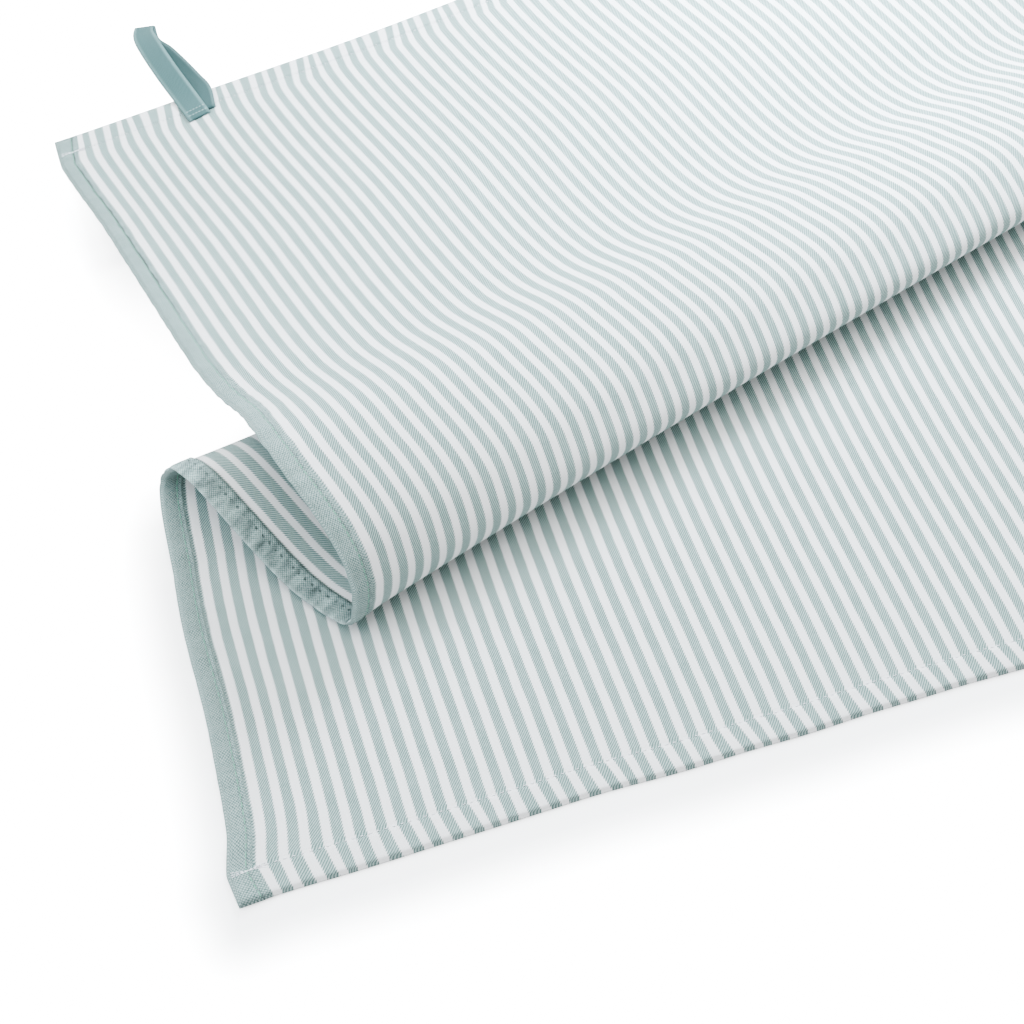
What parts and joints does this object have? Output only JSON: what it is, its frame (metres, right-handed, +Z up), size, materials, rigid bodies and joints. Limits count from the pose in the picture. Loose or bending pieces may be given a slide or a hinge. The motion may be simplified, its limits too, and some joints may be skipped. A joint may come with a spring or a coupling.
{
  "type": "tea towel",
  "caption": "Square striped woven tea towel folded back on itself in a loose S shape, hemmed all round, with a tape hanging loop.",
  "frame": {"origin": "centre of the folded towel's outline, on the surface that it lies on", "axes": "+X along the near edge, +Y away from it, +Z up"},
  "size_m": [0.6908, 0.558, 0.0663],
  "materials": {
    "woven_cloth": "matt woven cotton, sage green and white stripes",
    "loop_tape": "matt woven tape, grey green"
  },
  "bodies": {
    "root": {"towel_cloth": "woven_cloth", "hanging_loop": "loop_tape"}
  },
  "joints": []
}
